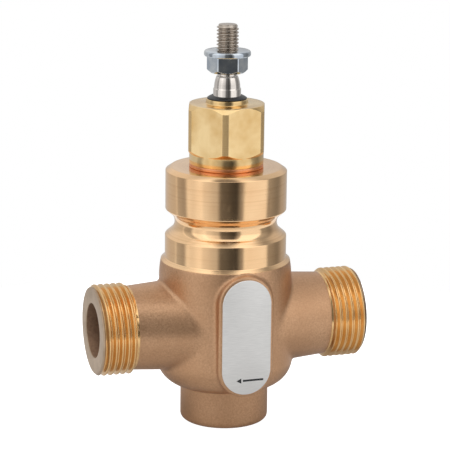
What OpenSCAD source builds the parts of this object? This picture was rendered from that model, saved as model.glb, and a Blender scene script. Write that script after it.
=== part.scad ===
// Two-way globe valve: a bronze body with two pipe threads, a plug that lifts off a seat ring,
// and a brass gland housing that guides and seals the stem.
// The origin is the centre of the foot's underside. +X points to the inlet port, +Z up the stem.
// The valve is drawn shut, with the stem in its lowest place.

/* [Body casting] */
// Distance between the two port faces
face_to_face = 100; // [98:0.5:110]
// Height of the port axis above the foot
axis_height = 37; // [36.5:0.5:41]
// Diameter of the foot
foot_d = 32.3; // [31:0.1:34]
// Rounding of the foot's lower edge
foot_round = 1.8; // [0.8:0.1:2.4]
// Diameter of the barrel where its shoulder starts
barrel_d = 48.4; // [47.8:0.2:50]
// How far the bowl stands out past that
bowl_swell = 0.9; // [0.2:0.1:1.4]
// Height above the foot at which the bowl is widest
bowl_h = 23.5; // [22:0.5:25]
// Radius of the bowl's curve
bowl_round = 9.5; // [9.2:0.1:11]
// Height of the barrel's shoulder above the port axis
shoulder_rise = 23.6; // [23:0.2:26]
// Length of barrel that the shoulder's curve takes
shoulder_h = 6.6; // [4:0.2:9]
// Radius of the shoulder's curve
shoulder_round = 36; // [30:1:50]

/* [Arms] */
// Diameter of each arm where its pipe thread starts
arm_end_d = 30.6; // [30.4:0.1:32]
// Width of each arm at its root in the barrel
arm_root_w = 41.2; // [38:0.2:42]
// Height of each arm at its root in the barrel
arm_root_h = 33.8; // [32:0.2:35]
// Distance from the stem's axis to that root
arm_root_x = 11; // [8:0.5:12]

/* [Ports] */
// Diameter over the crests of the pipe thread
port_thread_d = 33.24; // [33:0.02:35]
// Length of each port from the arm to the port face
port_l = 13.5; // [12:0.5:16]
// Distance from one thread crest to the next
port_pitch = 2.309; // [2.2:0.001:2.5]
// Number of thread grooves on each port
port_grooves = 4; // [3:1:4]
// Width of a thread groove at the crests
port_groove_w = 0.46; // [0.3:0.02:0.48]
// Length of the chamfer at the port face
port_chamfer_l = 1.1; // [0.6:0.1:1.6]
// Depth of that chamfer
port_chamfer_t = 0.93; // [0.5:0.01:1.4]
// Length of the thread's run-out next to the arm
port_runout_l = 1.5; // [1:0.1:2]
// Diameter of the port bore
port_bore_d = 19.8; // [19:0.1:21]
// Depth of the port bore
port_bore_l = 23; // [21:0.5:25]

/* [Neck] */
// Height of the machined bevel above the barrel
neck_bevel_h = 1.1; // [0.6:0.1:2]
// Diameter of the neck's lower band
neck_band_d = 44.2; // [43.6:0.1:45]
// Height of the lower band
neck_band_h = 8.1; // [7:0.1:9]
// Diameter of the clamp groove's floor
groove_floor_d = 37.2; // [36:0.1:39]
// Radius of the clamp groove's floor curve
groove_round = 4.2; // [3.6:0.1:5]
// Slope of the clamp groove's sides
groove_slope = 40; // [34:0.5:46]
// Diameter of the neck's head, which an actuator's yoke clamps round
head_d = 44; // [43.6:0.1:45]
// Height of the head's straight side
head_h = 14.21; // [12:0.01:18]
// Height of the bevel round the neck's top
head_bevel_h = 1.25; // [0.6:0.05:2]
// Depth of that bevel
head_bevel_t = 2.5; // [1:0.1:4]

/* [Label pad] */
// Width of the nameplate
plate_w = 18.2; // [16:0.1:20]
// Length of the nameplate
plate_l = 42.4; // [38:0.1:43]
// Thickness of the nameplate
plate_t = 0.4; // [0.2:0.05:0.8]
// Height of the nameplate's centre above the port axis
plate_rise = 0.6; // [0:0.1:1.5]
// How far the pad's face stands off the bowl's side
pad_stand = 0.5; // [0.4:0.1:1.2]
// Rim of the pad that shows round the nameplate
pad_rim = 0.5; // [0.2:0.1:1]
// Bevel of the pad's edge
pad_bevel = 0.7; // [0.3:0.1:1]

/* [Flow passages] */
// Thickness of the wall under the lower chamber
floor_t = 6; // [5:0.2:7]
// Diameter of the lower chamber
lower_chamber_d = 23; // [22:0.2:24]
// Diameter of the upper chamber
upper_chamber_d = 26; // [25.4:0.2:28]
// Height of the upper chamber
upper_chamber_h = 17; // [16:0.5:18]
// Height of the web's top above the port axis
web_rise = 3; // [2.6:0.1:3.4]
// Depth of the pocket that the seat ring is pressed into
seat_pocket_h = 4; // [3.6:0.1:4.4]
// Thickness of the lip that the seat ring stands on
seat_lip_t = 2; // [1.6:0.1:2.4]
// Diameter of the two slanted passages behind the ports
passage_d = 13; // [12:0.2:13.4]
// Drop of the inlet passage, from the port axis to its end in the lower chamber
inlet_drop = 12; // [11:0.5:13]
// Climb of the outlet passage, from the port axis to its end in the upper chamber
outlet_climb = 11; // [10:0.5:12]
// Distance from the stem's axis to where both passages end
passage_end_x = 11; // [10.5:0.5:12]

/* [Seat ring] */
// Outer diameter of the seat ring
seat_d = 20.9; // [20:0.1:21.5]
// Bore of the seat ring
seat_bore_d = 15; // [14.4:0.1:15.6]
// Height of the seat ring
seat_h = 6.45; // [6:0.05:7]
// Bevel inside the seat ring's upper edge
seat_bevel = 0.4; // [0.2:0.1:0.6]

/* [Plug] */
// Lift of the stem from shut to fully open
stroke = 20; // [18:0.5:21]
// Diameter of the plug's head
plug_d = 18.6; // [18:0.1:19.4]
// Height of the plug's head
plug_h = 7; // [6:0.1:8]
// Gap between the plug's skirt and the seat ring's bore
skirt_gap = 0.3; // [0.2:0.05:0.5]
// Height of the skirt's straight part
skirt_h = 1.5; // [1:0.1:2]
// Diameter of the skirt at its lower end
skirt_end_d = 9.2; // [9:0.1:10]
// Width of the soft seal under the plug's head
plug_seal_w = 1.5; // [1.2:0.1:1.7]
// Thickness of the soft seal
plug_seal_t = 1.5; // [1:0.1:2]
// Diameter of the washer under the plug
washer_d = 9; // [8.4:0.1:9.2]
// Thickness of that washer
washer_t = 1; // [0.6:0.1:1.4]
// Size across the flats of the nut that holds the plug
plug_nut_af = 8; // [7.6:0.1:9]
// Height of that nut
plug_nut_h = 4; // [3:0.1:4.5]

/* [Stem] */
// Diameter of the stem
stem_d = 10; // [9.6:0.1:10.4]
// Diameter of the spigot that carries the plug
spigot_d = 5; // [4.6:0.1:5.4]
// Length of spigot left below the plug's nut
spigot_end = 1; // [0.5:0.1:1.4]
// Height of full stem that shows above the gland housing when shut
stem_show = 4.1; // [3:0.1:5]
// Height of the curved shoulder above it
ogive_h = 4; // [3:0.1:5]
// Diameter at the shoulder's upper end
ogive_end_d = 7.8; // [7.4:0.1:8.4]
// Diameter of the relief under the coupling nut
relief_d = 6.9; // [6.6:0.1:7.1]
// Height of that relief
relief_h = 1.1; // [0.8:0.1:2]
// Nominal diameter of the stem's thread
stem_thread_d = 8; // [7.8:0.1:8.4]
// Distance from one thread crest to the next
stem_pitch = 1.25; // [1.2:0.05:1.3]
// Length of thread left free above the coupling nut
stem_thread_free = 8.2; // [7:0.1:12]
// Height of the point above the thread
stem_point_h = 1.2; // [0.8:0.1:1.6]

/* [Coupling nut] */
// Size across the flats of the coupling nut
nut_af = 13; // [12.4:0.1:14]
// Height of the coupling nut with its flange
nut_h = 8; // [7:0.1:10]
// Diameter of the nut's flange
nut_flange_d = 16.8; // [16:0.1:18]
// Thickness of the flange at its rim
nut_flange_t = 2.2; // [1.6:0.1:3]
// Angle that the coupling nut is turned to
nut_turned = 44.2; // [0:0.1:60]

/* [Gland housing] */
// Wall of the housing round its seals
gland_wall = 3.9; // [3.4:0.1:4.2]
// Length of the housing's spigot inside the neck
gland_spigot_l = 20.35; // [20:0.05:22]
// Step from the spigot out to the collar
collar_step = 1.55; // [1.2:0.01:1.6]
// Height of the collar under the hexagon
collar_h = 3.82; // [3:0.02:6]
// Size across the flats of the housing
gland_af = 27; // [26.6:0.1:27.8]
// Diameter that the housing's corners are turned to
gland_corner_d = 30; // [29:0.1:31]
// Height of the hexagon
gland_hex_h = 17.93; // [17:0.01:20]
// Height of the bevel on the upper corners
gland_bevel_h = 1.7; // [1:0.1:2.4]
// Height of the bevel on the lower corners
gland_low_bevel_h = 1.46; // [0.8:0.02:2]
// Angle that the gland housing is turned to
gland_turned = 10.4; // [0:0.1:60]
// Diameter of the boss on top
boss_d = 15.2; // [15:0.1:16]
// Height of the boss
boss_h = 1.7; // [1:0.1:3]
// Thickness of the copper gasket under the collar
gasket_t = 1.35; // [0.8:0.05:2]

/* [Stem seals] */
// Thickness of the land between the wiper and the upper bush
land_t = 2.5; // [2:0.1:3]
// Depth of the wiper's recess
wiper_h = 4.3; // [3.6:0.1:4.8]
// Width of the wiper in its recess
wiper_w = 1.9; // [1.6:0.05:2]
// Height of the wiper's lip above the boss
wiper_lip_h = 1.2; // [0.8:0.1:1.5]
// Thickness of a seal ring
ring_d = 2.9; // [2.6:0.1:3]
// Length of the upper guide bush
upper_bush_l = 7; // [6:0.1:7.2]
// Length of the lower guide bush
lower_bush_l = 15.5; // [14:0.1:15.6]
// Thickness of a back-up ring
backup_t = 1; // [0.8:0.1:1.1]
// Thickness of the spacer between the seal rings
spacer_t = 2.5; // [2:0.1:2.6]
// Thickness of the circlip under the lower bush
circlip_t = 1; // [0.8:0.1:1.1]
// Radial width of the circlip
circlip_w = 1.7; // [1.4:0.1:1.8]
// Depth of the circlip's groove
circlip_depth = 0.8; // [0.6:0.05:0.9]
// Angle of the circlip's opening
circlip_open = 50; // [36:1:60]

/* [Fits] */
// Radial clearance of the stem in its guides, and of each piece in its seat
fit_gap = 0.05; // [0.04:0.01:0.07]
// Clearance of the housing's threaded spigot in the neck
thread_gap = 0.1; // [0.05:0.01:0.15]
// Clearance round the stem in the housing's land
land_gap = 0.3; // [0.2:0.05:0.5]
// Clearance under and over the coupling nut
nut_gap = 0.2; // [0.15:0.05:0.4]

/* [Hidden] */
$fn = 96;

// How far a cutting solid runs past the face that it cuts
overrun = 0.5;
// Straight pieces in each curve of a turned outline, and sides of an arm
arc_steps = 8;
arm_sides = 40;

// Depth of a pipe thread, and depths of a metric thread, as shares of the pitch
port_depth_share = 0.6403;
pitch_line_share = 0.3248;
root_share = 0.6134;
// Crests of a cut metric thread lie this share of the pitch inside the nominal size
crest_share = 0.04;

// How fast the stem's shoulder curves in towards its upper end
ogive_power = 1.6;

// Radii that several pieces share
foot_r = foot_d / 2;
barrel_r = barrel_d / 2;
bowl_r = barrel_r + bowl_swell;
pad_y = bowl_r + pad_stand;
port_x = face_to_face / 2;
port_start_x = port_x - port_l;
port_r = port_thread_d / 2;
port_root_r = port_r - port_depth_share * port_pitch;
port_bore_r = port_bore_d / 2;
bore_end_x = port_x - port_bore_l;
stem_r = stem_d / 2;
guide_r = stem_r + fit_gap;
ring_outer_r = guide_r + ring_d;
gland_bore_r = ring_outer_r + fit_gap;
gland_spigot_r = gland_bore_r + gland_wall;
neck_bore_r = gland_spigot_r + thread_gap;
collar_r = gland_spigot_r + collar_step;
wiper_r = guide_r + wiper_w;
circlip_groove_r = gland_bore_r + circlip_depth;
hex_corner_ratio = 1 / cos(30);

// Radii of the stem's thread: at its crests, its pitch line, its roots and its point
stem_crest_r = stem_thread_d / 2 - crest_share * stem_pitch;
stem_mid_r = stem_thread_d / 2 - pitch_line_share * stem_pitch;
stem_root_r = stem_thread_d / 2 - root_share * stem_pitch;
stem_point_r = stem_root_r - crest_share * stem_pitch;

// Heights of the body, from the foot up
shoulder_z = axis_height + shoulder_rise;
band_z = shoulder_z + neck_bevel_h;
band_top_z = band_z + neck_band_h;
groove_centre_r = groove_floor_d / 2 + groove_round;
groove_z = band_top_z + groove_half(neck_band_d / 2);
head_z = groove_z + groove_half(head_d / 2);
neck_top_z = head_z + head_h + head_bevel_h;
plate_z = axis_height + plate_rise;

// Heights of the seat and the chambers
web_top_z = axis_height + web_rise;
seat_z = web_top_z - seat_pocket_h;
lower_chamber_top_z = seat_z - seat_lip_t;
seat_top_z = seat_z + seat_h;
upper_chamber_top_z = web_top_z + upper_chamber_h;

// Heights of the plug, from the seat
plug_z = seat_top_z + fit_gap;
plug_top_z = plug_z + plug_h;
skirt_end_z = plug_z - stroke;
washer_z = skirt_end_z - fit_gap - washer_t;
plug_nut_z = washer_z - fit_gap - plug_nut_h;
spigot_end_z = plug_nut_z - spigot_end;

// Heights of the gland housing, from the neck up
collar_z = neck_top_z + gasket_t;
gland_hex_z = collar_z + collar_h;
boss_z = gland_hex_z + gland_hex_h;
boss_top_z = boss_z + boss_h;
recess_z = boss_top_z - wiper_h;
land_z = recess_z - land_t;

// Heights of the stack of seals, from the land down, each piece a fit_gap below the last
upper_bush_z = land_z - fit_gap - upper_bush_l;
upper_backup_z = upper_bush_z - fit_gap - backup_t;
upper_ring_z = upper_backup_z - fit_gap - ring_d;
spacer_z = upper_ring_z - fit_gap - spacer_t;
lower_ring_z = spacer_z - fit_gap - ring_d;
lower_backup_z = lower_ring_z - fit_gap - backup_t;
lower_bush_z = lower_backup_z - fit_gap - lower_bush_l;
circlip_z = lower_bush_z - fit_gap - circlip_t;
circlip_groove_z = circlip_z - fit_gap;

// Heights of the stem's upper end, from the boss up
ogive_z = boss_top_z + stem_show;
relief_z = ogive_z + ogive_h;
stem_mid_z = relief_z + relief_h;
nut_z = stem_mid_z + nut_gap;
nut_top_z = nut_z + nut_h;
stem_thread_z = nut_top_z + nut_gap;
stem_point_z = nut_top_z + stem_thread_free;
stem_top_z = stem_point_z + stem_point_h;
stem_grooves = floor((stem_point_z - stem_thread_z) / stem_pitch);

// Points on an arc round centre c, from angle a0 to a1
function arc(c, r, a0, a1, steps = arc_steps) =
    [for (i = [0:steps]) let (a = a0 + (a1 - a0) * i / steps) c + r * [cos(a), sin(a)]];

// Half the clamp groove's width at radius r
function groove_half(r) = groove_round * cos(groove_slope)
    + (r - groove_centre_r + groove_round * sin(groove_slope)) * tan(groove_slope);

// Radius of the plug's skirt at share t of its tapered length: its open area grows evenly
function skirt_r(t, r0, r1) = sqrt(r0 * r0 - t * (r0 * r0 - r1 * r1));

module turned(outline) {
    rotate_extrude() polygon(outline);
}

module ring(outer_r, inner_r, z, h) {
    translate([0, 0, z]) difference() {
        cylinder(h = h, r = outer_r);
        translate([0, 0, -overrun]) cylinder(h = h + 2 * overrun, r = inner_r);
    }
}

// A cylinder of radius r between two points
module rod(from, to, r) {
    way = to - from;
    translate(from) rotate([0, acos(way[2] / norm(way)), atan2(way[1], way[0])])
        cylinder(h = norm(way), r = r);
}

// A hexagon, across flats af, with its corners turned to the outline
module turned_hex(af, z, h, outline) {
    intersection() {
        translate([0, 0, z]) cylinder(h = h, r = af / 2 * hex_corner_ratio, $fn = 6);
        turned(outline);
    }
}

// Puts a solid drawn along Z on the port axis, with its top towards the inlet
module along_port() {
    translate([0, 0, axis_height]) rotate([0, 90, 0]) children();
}

// The foot, bowl, barrel and machined neck in one turned outline
module body_column() {
    bowl_centre = [bowl_r - bowl_round, bowl_h];
    bowl_start = -acos((foot_r - bowl_centre[0]) / bowl_round);
    shoulder_low_z = shoulder_z - shoulder_h;
    shoulder_centre = [barrel_r - shoulder_round, shoulder_low_z];
    turned(concat(
        [[0, 0]],
        arc([foot_r - foot_round, foot_round], foot_round, -90, 0, arc_steps / 2),
        arc(bowl_centre, bowl_round, bowl_start, 0),
        arc(shoulder_centre, shoulder_round, 0, asin(shoulder_h / shoulder_round), arc_steps / 2),
        [
            [neck_band_d / 2, band_z],
            [neck_band_d / 2, band_top_z]
        ],
        arc([groove_centre_r, groove_z], groove_round, 270 - groove_slope, 90 + groove_slope),
        [
            [head_d / 2, head_z],
            [head_d / 2, head_z + head_h],
            [head_d / 2 - head_bevel_t, neck_top_z],
            [0, neck_top_z]
        ]
    ));
}

// One arm, from a flattened root in the barrel to a round end at the port
module arm() {
    along_port() hull() {
        translate([0, 0, arm_root_x])
            scale([arm_root_h / arm_root_w, 1, 1]) cylinder(h = overrun, d = arm_root_w, $fn = arm_sides);
        translate([0, 0, port_start_x - overrun]) cylinder(h = overrun, d = arm_end_d, $fn = arm_sides);
    }
}

// One port's threaded end, with a ring groove for each turn of the thread
module port_end() {
    crest_end_x = port_x - port_chamfer_l;
    crest_start_x = port_start_x + port_runout_l;
    first_groove_x = (crest_start_x + crest_end_x - (port_grooves - 1) * port_pitch) / 2;
    groove_floor_w = port_groove_w / 2;
    along_port() difference() {
        turned([
            [0, port_start_x - overrun],
            [port_root_r, port_start_x - overrun],
            [port_root_r, port_start_x],
            [port_r, crest_start_x],
            [port_r, crest_end_x],
            [port_r - port_chamfer_t, port_x],
            [0, port_x]
        ]);
        for (i = [0:port_grooves - 1])
            translate([0, 0, first_groove_x + i * port_pitch]) turned([
                [port_root_r, -groove_floor_w / 2],
                [port_r, -port_groove_w / 2],
                [port_r + overrun, -port_groove_w / 2],
                [port_r + overrun, port_groove_w / 2],
                [port_r, port_groove_w / 2],
                [port_root_r, groove_floor_w / 2]
            ]);
    }
}

// The flat pad that carries the nameplate, drawn on the side away from +Y
module label_pad() {
    pad_r = plate_w / 2 + pad_rim;
    half_l = plate_l / 2 - plate_w / 2;
    edge_y = pad_y - pad_bevel;
    module half_outline() {
        polygon([[0, 0], [pad_r + pad_bevel, 0], [pad_r + pad_bevel, edge_y], [pad_r, pad_y],
            [0, pad_y]]);
    }
    translate([0, 0, plate_z]) rotate([90, 0, 0]) {
        for (side = [-1, 1]) translate([0, side * half_l, 0]) rotate_extrude() half_outline();
        translate([0, half_l, 0]) rotate([90, 0, 0]) linear_extrude(2 * half_l) {
            half_outline();
            mirror([1, 0]) half_outline();
        }
    }
}

// Everything that is cut out round the stem's axis
module body_chambers() {
    turned([
        [0, floor_t],
        [lower_chamber_d / 2, floor_t],
        [lower_chamber_d / 2, lower_chamber_top_z],
        [seat_d / 2 - seat_lip_t / 2, lower_chamber_top_z],
        [seat_d / 2 - seat_lip_t / 2, seat_z],
        [seat_d / 2 + fit_gap, seat_z],
        [seat_d / 2 + fit_gap, web_top_z],
        [upper_chamber_d / 2, web_top_z],
        [upper_chamber_d / 2, upper_chamber_top_z],
        [neck_bore_r, upper_chamber_top_z],
        [neck_bore_r, neck_top_z + overrun],
        [0, neck_top_z + overrun]
    ]);
}

module valve_body() {
    color("peru") difference() {
        union() {
            body_column();
            for (side = [0, 180]) rotate([0, 0, side]) {
                arm();
                port_end();
            }
            label_pad();
        }
        body_chambers();
        for (side = [0, 180]) rotate([0, 0, side])
            along_port() translate([0, 0, bore_end_x])
                cylinder(h = port_bore_l + overrun, r = port_bore_r);
        rod([bore_end_x, 0, axis_height], [passage_end_x, 0, axis_height - inlet_drop], passage_d / 2);
        rod([-bore_end_x, 0, axis_height], [-passage_end_x, 0, axis_height + outlet_climb],
            passage_d / 2);
    }
}

module seat_ring() {
    outer_r = seat_d / 2;
    bore_r = seat_bore_d / 2;
    color("lightsteelblue") turned([
        [bore_r, seat_z],
        [outer_r, seat_z],
        [outer_r, seat_top_z - seat_bevel],
        [outer_r - seat_bevel, seat_top_z],
        [bore_r + seat_bevel, seat_top_z],
        [bore_r, seat_top_z - seat_bevel]
    ]);
}

// The plate is bare, a stadium lying flat on its pad
module nameplate() {
    half_l = plate_l / 2 - plate_w / 2;
    color("silver") translate([0, -pad_y, plate_z]) rotate([90, 0, 0]) {
        for (side = [-1, 1]) translate([0, side * half_l, 0]) cylinder(h = plate_t, d = plate_w);
        translate([-plate_w / 2, -half_l, 0]) cube([plate_w, 2 * half_l, plate_t]);
    }
}

module gland_gasket() {
    color("chocolate") ring(collar_r, neck_bore_r, neck_top_z, gasket_t);
}

module gland_housing() {
    corner_r = gland_corner_d / 2;
    spigot_z = collar_z - gland_spigot_l;
    color("goldenrod") difference() {
        union() {
            translate([0, 0, spigot_z]) cylinder(h = gland_spigot_l + overrun, r = gland_spigot_r);
            translate([0, 0, collar_z]) cylinder(h = collar_h + overrun, r = collar_r);
            rotate([0, 0, gland_turned]) turned_hex(gland_af, gland_hex_z, gland_hex_h, [
                [0, gland_hex_z],
                [collar_r, gland_hex_z],
                [corner_r, gland_hex_z + gland_low_bevel_h],
                [corner_r, boss_z - gland_bevel_h],
                [gland_af / 2, boss_z],
                [0, boss_z]
            ]);
            translate([0, 0, boss_z - overrun]) cylinder(h = boss_h + overrun, d = boss_d);
        }
        turned([
            [0, spigot_z - overrun],
            [gland_bore_r, spigot_z - overrun],
            [gland_bore_r, circlip_groove_z],
            [circlip_groove_r, circlip_groove_z],
            [circlip_groove_r, lower_bush_z],
            [gland_bore_r, lower_bush_z],
            [gland_bore_r, land_z],
            [stem_r + land_gap, land_z],
            [stem_r + land_gap, recess_z],
            [wiper_r + fit_gap, recess_z],
            [wiper_r + fit_gap, boss_top_z + overrun],
            [0, boss_top_z + overrun]
        ]);
    }
}

// A rubber wiper whose lip spreads over the boss
module stem_wiper() {
    lip_r = boss_d / 2 - fit_gap - wiper_lip_h / 3;
    color("dimgray") turned([
        [guide_r, recess_z + fit_gap],
        [wiper_r, recess_z + fit_gap],
        [wiper_r, boss_top_z + fit_gap],
        [lip_r, boss_top_z + fit_gap],
        [lip_r, boss_top_z + fit_gap + wiper_lip_h / 3],
        [guide_r + wiper_lip_h / 2, boss_top_z + wiper_lip_h],
        [guide_r, boss_top_z + wiper_lip_h]
    ]);
}

module guide_bush(z, h) {
    color("tan") ring(ring_outer_r, guide_r, z, h);
}

module backup_ring(z) {
    color("ivory") ring(ring_outer_r, guide_r, z, backup_t);
}

module o_ring(z) {
    color("dimgray") rotate_extrude() translate([guide_r + ring_d / 2, z + ring_d / 2]) circle(d = ring_d);
}

module upper_guide_bush() guide_bush(upper_bush_z, upper_bush_l);
module upper_backup_ring() backup_ring(upper_backup_z);
module upper_o_ring() o_ring(upper_ring_z);
module o_ring_spacer() {
    color("gold") ring(ring_outer_r, guide_r + land_gap, spacer_z, spacer_t);
}
module lower_o_ring() o_ring(lower_ring_z);
module lower_backup_ring() backup_ring(lower_backup_z);
module lower_guide_bush() guide_bush(lower_bush_z, lower_bush_l);

// An open spring ring with an ear at each end
module bush_circlip() {
    outer_r = circlip_groove_r - fit_gap;
    inner_r = outer_r - circlip_w;
    ear_r = circlip_w / 2;
    ear_centre_r = inner_r + ear_r / 2;
    reach = 2 * outer_r;
    color("slategray") {
        difference() {
            ring(outer_r, inner_r, circlip_z, circlip_t);
            translate([0, 0, circlip_z - overrun]) linear_extrude(circlip_t + 2 * overrun)
                polygon([[0, 0], for (side = [-1, 1]) reach * [cos(side * circlip_open / 2),
                    sin(side * circlip_open / 2)]]);
        }
        for (side = [-1, 1]) rotate([0, 0, side * circlip_open / 2])
            translate([ear_centre_r, 0, circlip_z]) cylinder(h = circlip_t, r = ear_r);
    }
}

module valve_stem() {
    groove_half_w = (stem_crest_r - stem_root_r) * tan(30);
    color("gainsboro") difference() {
        turned(concat(
            [
                [0, spigot_end_z],
                [spigot_d / 2, spigot_end_z],
                [spigot_d / 2, plug_top_z + fit_gap],
                [stem_r, plug_top_z + fit_gap]
            ],
            [for (i = [0:arc_steps]) let (t = i / arc_steps)
                [stem_r - (stem_r - ogive_end_d / 2) * pow(t, ogive_power), ogive_z + t * ogive_h]],
            [
                [relief_d / 2, relief_z],
                [relief_d / 2, stem_mid_z],
                [stem_mid_r, stem_mid_z],
                [stem_mid_r, stem_thread_z],
                [stem_crest_r, stem_thread_z],
                [stem_crest_r, stem_point_z],
                [stem_point_r, stem_top_z],
                [0, stem_top_z]
            ]
        ));
        for (i = [1:stem_grooves])
            translate([0, 0, stem_point_z - (i - crest_share) * stem_pitch + groove_half_w / 2]) turned([
                [stem_root_r, 0],
                [stem_crest_r + overrun, -groove_half_w - overrun * tan(30)],
                [stem_crest_r + overrun, groove_half_w + overrun * tan(30)]
            ]);
    }
}

// A hexagon nut turned over, with its flange on top
module coupling_nut() {
    corner_r = nut_af / 2 * hex_corner_ratio;
    flange_z = nut_top_z - nut_flange_t;
    rim_r = nut_flange_t / 2;
    color("lightslategray") difference() {
        union() {
            rotate([0, 0, nut_turned]) turned_hex(nut_af, nut_z, nut_h - nut_flange_t / 2, [
                [0, nut_z],
                [nut_af / 2 - nut_gap, nut_z],
                [corner_r, nut_z + (corner_r - nut_af / 2 + nut_gap)],
                [corner_r, nut_top_z],
                [0, nut_top_z]
            ]);
            turned(concat(
                [[0, flange_z - nut_gap], [nut_af / 2, flange_z - nut_gap]],
                arc([nut_flange_d / 2 - rim_r, nut_top_z - rim_r], rim_r, -60, 90),
                [[0, nut_top_z]]
            ));
        }
        translate([0, 0, nut_z - overrun]) cylinder(h = nut_h + 2 * overrun, r = stem_mid_r + fit_gap);
    }
}

// A flat head with a skirt below it that shapes the flow through the seat
module valve_plug() {
    skirt_top_r = seat_bore_d / 2 - skirt_gap;
    taper_h = stroke - skirt_h;
    seal_step_r = plug_d / 2 - plug_seal_w - fit_gap;
    bore_r = spigot_d / 2 + fit_gap;
    color("burlywood") turned(concat(
        [[bore_r, skirt_end_z]],
        [for (i = [arc_steps:-1:0]) let (t = i / arc_steps)
            [skirt_r(t, skirt_top_r, skirt_end_d / 2), plug_z - skirt_h - t * taper_h]],
        [
            [skirt_top_r, plug_z],
            [seal_step_r, plug_z],
            [seal_step_r, plug_z + plug_seal_t + fit_gap],
            [plug_d / 2, plug_z + plug_seal_t + fit_gap],
            [plug_d / 2, plug_top_z],
            [bore_r, plug_top_z]
        ]
    ));
}

module plug_seal() {
    color("white") ring(plug_d / 2, plug_d / 2 - plug_seal_w, plug_z, plug_seal_t);
}

module plug_washer() {
    color("silver") ring(washer_d / 2, spigot_d / 2 + fit_gap, washer_z, washer_t);
}

module plug_nut() {
    color("silver") difference() {
        translate([0, 0, plug_nut_z])
            cylinder(h = plug_nut_h, r = plug_nut_af / 2 * hex_corner_ratio, $fn = 6);
        translate([0, 0, plug_nut_z - overrun])
            cylinder(h = plug_nut_h + 2 * overrun, r = spigot_d / 2 + fit_gap);
    }
}

valve_body();
seat_ring();
nameplate();
gland_gasket();
gland_housing();
stem_wiper();
upper_guide_bush();
upper_backup_ring();
upper_o_ring();
o_ring_spacer();
lower_o_ring();
lower_backup_ring();
lower_guide_bush();
bush_circlip();
valve_stem();
coupling_nut();
valve_plug();
plug_seal();
plug_washer();
plug_nut();
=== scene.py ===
"""Bronze globe valve: sand-cast body, turned neck, brass gland housing, steel stem with its flange nut.

Lengths are written in millimetres and turned into metres when a mesh is made. Every piece is made in
place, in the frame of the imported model: Z up from the foot, X along the ports, the nameplate towards -Y.
"""
import math

import bmesh
import bpy
import numpy as np
from mathutils import Matrix, Vector


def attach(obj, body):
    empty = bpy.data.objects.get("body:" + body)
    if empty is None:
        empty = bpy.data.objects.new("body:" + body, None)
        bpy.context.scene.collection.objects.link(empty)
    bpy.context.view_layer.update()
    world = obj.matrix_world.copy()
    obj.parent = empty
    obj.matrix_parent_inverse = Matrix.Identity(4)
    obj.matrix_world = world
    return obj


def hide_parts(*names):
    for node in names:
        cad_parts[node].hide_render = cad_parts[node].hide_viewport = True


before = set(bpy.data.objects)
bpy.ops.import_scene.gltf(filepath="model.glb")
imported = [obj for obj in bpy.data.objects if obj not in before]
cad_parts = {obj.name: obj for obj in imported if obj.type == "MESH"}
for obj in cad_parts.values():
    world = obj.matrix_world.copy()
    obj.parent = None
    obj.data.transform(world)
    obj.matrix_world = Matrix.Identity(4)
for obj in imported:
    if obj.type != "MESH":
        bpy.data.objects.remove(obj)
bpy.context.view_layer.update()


MM = 0.001

# ---- Sizes, in mm
AXIS_Z = 37.0          # height of the ports
PORT_X = 50.0          # end faces of the ports
FOOT_R = 16.15
NECK_R = 22.0          # head of the neck
BARREL_R = 24.2        # where its shoulder starts
BOWL_R = 25.1          # the bowl at its widest
BARREL_TOP_Z = 60.6
NECK_BORE_R = 12.0
PORT_BORE_R = 9.9
PORT_BORE_L = 23.0
PORT_CREST_R = 16.62
PORT_ROOT_R = 15.1415
PORT_PITCH = 2.309
STEM_PITCH = 1.25
STEM_CREST_R = 3.95
STEM_ROOT_R = 3.233
STEM_R = 5.0
THREAD_Z = 133.0       # where the drawn stem thread starts, inside the nut
PLATE_Z = 37.6         # middle of the nameplate
PLATE_W = 18.2
PLATE_L = 42.4
PAD_Y = 25.6           # face of the pad, in front of the barrel
NECK_TOP_Z = 94.966
GLAND_Z = 96.317       # underside of the gland housing's collar
HEX_Z = 100.14         # underside of its hexagon
BOSS_Z = 118.07
BOSS_TOP_Z = 119.77
NUT_Z = 129.17
NUT_TOP_Z = 137.17


# ---- Mesh making
def new_piece(name, verts, faces, material=None, sharp=35.0):
    """A piece from points in mm, with its corners kept crisp where faces meet sharply."""
    mesh = bpy.data.meshes.new(name)
    mesh.from_pydata((np.asarray(verts, dtype=float) * MM).tolist(), [], faces)
    mesh.validate()
    mesh.update()
    piece = bpy.data.objects.new(name, mesh)
    bpy.context.scene.collection.objects.link(piece)
    if material:
        mesh.materials.append(material)
    finish_shading(piece, sharp)
    return piece


def finish_shading(piece, sharp=35.0):
    mesh = piece.data
    mesh.shade_smooth()
    mesh.set_sharp_from_angle(angle=math.radians(sharp))


def rounded(outline, radius, steps=3):
    """The outline of a turned piece, with each corner rounded. A point may carry its own radius."""
    out = []
    n = len(outline)
    for i, point in enumerate(outline):
        here = np.array(point[:2], dtype=float)
        size = point[2] if len(point) > 2 else radius
        back = np.array(outline[i - 1][:2], dtype=float) - here
        on = np.array(outline[(i + 1) % n][:2], dtype=float) - here
        lb, lo = np.linalg.norm(back), np.linalg.norm(on)
        if size <= 0 or lb < 1e-6 or lo < 1e-6:
            out.append(here)
            continue
        back, on = back / lb, on / lo
        turn = math.acos(max(-1.0, min(1.0, float(back @ on))))
        if turn > math.radians(172):
            out.append(here)
            continue
        reach = min(size / math.tan(turn / 2), 0.45 * lb, 0.45 * lo)
        a, b = here + back * reach, here + on * reach
        for k in range(steps + 1):
            t = k / steps
            out.append((1 - t) ** 2 * a + 2 * t * (1 - t) * here + t * t * b)
    return out


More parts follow.
